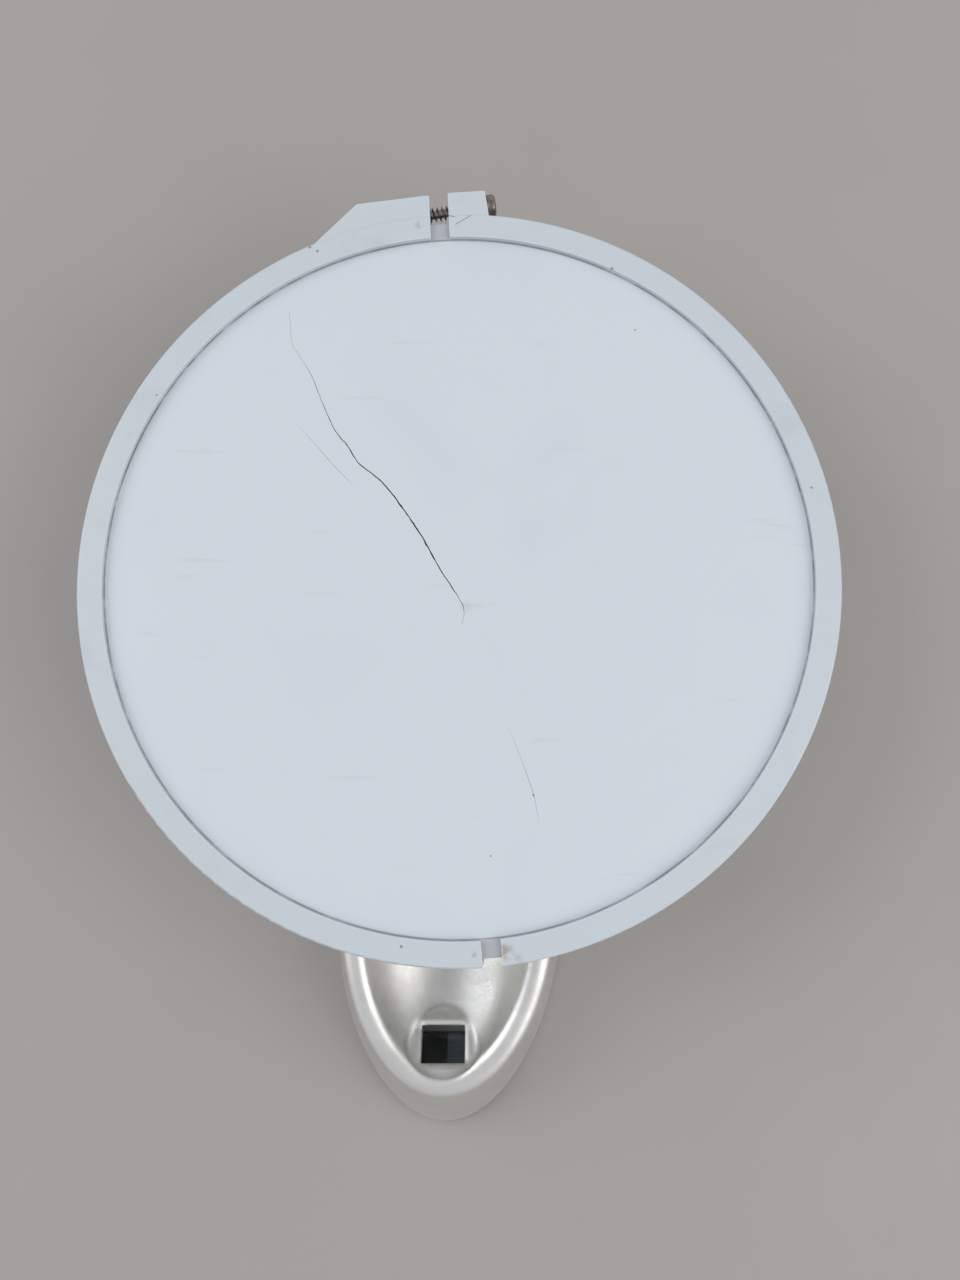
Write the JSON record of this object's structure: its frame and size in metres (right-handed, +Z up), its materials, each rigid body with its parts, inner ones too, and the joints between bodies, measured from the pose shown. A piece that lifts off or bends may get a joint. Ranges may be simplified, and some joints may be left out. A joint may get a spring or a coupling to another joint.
{
  "type": "digital bathroom scale",
  "caption": "Round white bathroom scale: a clamped platform disc on a cast aluminium base whose teardrop pod in front holds a small square display window.",
  "frame": {"origin": "middle of the footprint's box, at floor level", "axes": "+Z up, -Y towards the readout pod, +Y towards the clamp screw, +X to the right of a person facing the pod's back, as seen from above with the pod at the bottom"},
  "size_m": [0.28, 0.3671, 0.075],
  "materials": {
    "cast_aluminium": "satin, lightly polished sand casting",
    "white_plastic": "satin moulded plastic",
    "white_enamel": "satin powder coat",
    "dark_steel": "tarnished bright steel",
    "zinc_steel": "zinc plated",
    "spring_steel": "ground",
    "black_rubber": "matte",
    "grey_plastic": "fine spark texture",
    "clear_plastic": "clear",
    "black_mask": "matte print",
    "display_glass": "gloss, dark blue-grey when off",
    "circuit_board": "solder mask",
    "component_plastic": "moulded",
    "lead_sleeve": "flexible sleeve",
    "contact_metal": "nickel plated",
    "battery_wrap": "printed sleeve with no lettering"
  },
  "bodies": {
    "base": {"base_casting": "cast_aluminium", "battery_1": "battery_wrap", "battery_2": "battery_wrap", "battery_3": "battery_wrap", "battery_4": "battery_wrap", "battery_contacts": "contact_metal", "battery_springs": "contact_metal", "battery_tray": "grey_plastic", "board_screws": "zinc_steel", "board_sockets": "component_plastic", "bottom_cover": "grey_plastic", "cell_leads": "lead_sleeve", "controller_chip": "component_plastic", "cover_screws": "zinc_steel", "display_board": "circuit_board", "display_glass": "display_glass", "display_holder": "grey_plastic", "display_lead": "lead_sleeve", "display_lens": "clear_plastic", "display_mask": "black_mask", "display_screws": "zinc_steel", "foot_pad_back_left": "black_rubber", "foot_pad_back_right": "black_rubber", "foot_pad_front_left": "black_rubber", "foot_pad_front_right": "black_rubber", "foot_pad_nose": "black_rubber", "hatch_hinge_pin": "zinc_steel", "load_cell_frame_1": "spring_steel", "load_cell_frame_2": "spring_steel", "load_cell_frame_3": "spring_steel", "load_cell_frame_4": "spring_steel", "load_cell_screws": "zinc_steel", "main_board": "circuit_board", "overload_stops": "zinc_steel", "tray_screws": "zinc_steel", "unit_button_spring": "contact_metal", "unit_switch": "component_plastic"},
    "platform": {"platform_pan": "zinc_steel", "platform_seal": "black_rubber", "platform_cover": "white_plastic", "load_cell_beam_1": "spring_steel", "load_cell_beam_2": "spring_steel", "load_cell_beam_3": "spring_steel", "load_cell_beam_4": "spring_steel", "load_button_1": "zinc_steel", "load_button_2": "zinc_steel", "load_button_3": "zinc_steel", "load_button_4": "zinc_steel"},
    "band_left": {"clamp_band_left": "white_enamel", "strap_pin_left": "zinc_steel"},
    "band_right": {"clamp_band_right": "white_enamel", "strap_pin_right": "zinc_steel", "joining_strap": "zinc_steel"},
    "clamp_screw": {"clamp_screw": "dark_steel"},
    "battery_hatch": {"battery_hatch": "grey_plastic"},
    "unit_button": {"unit_button": "grey_plastic"}
  },
  "joints": [
    {"name": "platform_travel", "type": "slide", "parent": "base", "child": "platform", "axis": [0, 0, -1], "range_m": [0, 0.001], "stiffness_N_per_m": 100000},
    {"name": "clamp_screw_turn", "type": "hinge", "parent": "band_right", "child": "clamp_screw", "pos_m": [0.00566, 0.17901, 0.068], "axis": [0.982, 0.1891, 0], "range_deg": [0, 720]},
    {"name": "band_left_opening", "type": "slide", "parent": "platform", "child": "band_left", "axis": [-0.982, -0.1891, 0], "range_m": [0, 0.00185]},
    {"name": "band_right_opening", "type": "slide", "parent": "platform", "child": "band_right", "axis": [0.982, 0.1891, 0], "range_m": [0, 0.00184]},
    {"name": "battery_hatch_hinge", "type": "hinge", "parent": "base", "child": "battery_hatch", "pos_m": [0, 0.02813, 0.0057], "axis": [-1, 0, 0], "range_deg": [0, 95]},
    {"name": "unit_button_press", "type": "slide", "parent": "base", "child": "unit_button", "axis": [0, 0, 1], "range_m": [0, 0.0006], "stiffness_N_per_m": 400, "deforming": ["unit_button_spring"]}
  ],
  "couplings": [
    {"joint": "band_left_opening", "follows": "band_right_opening", "ratio": 1},
    {"joint": "clamp_screw_turn", "follows": "band_right_opening", "rad_per_m": 6792.6}
  ]
}
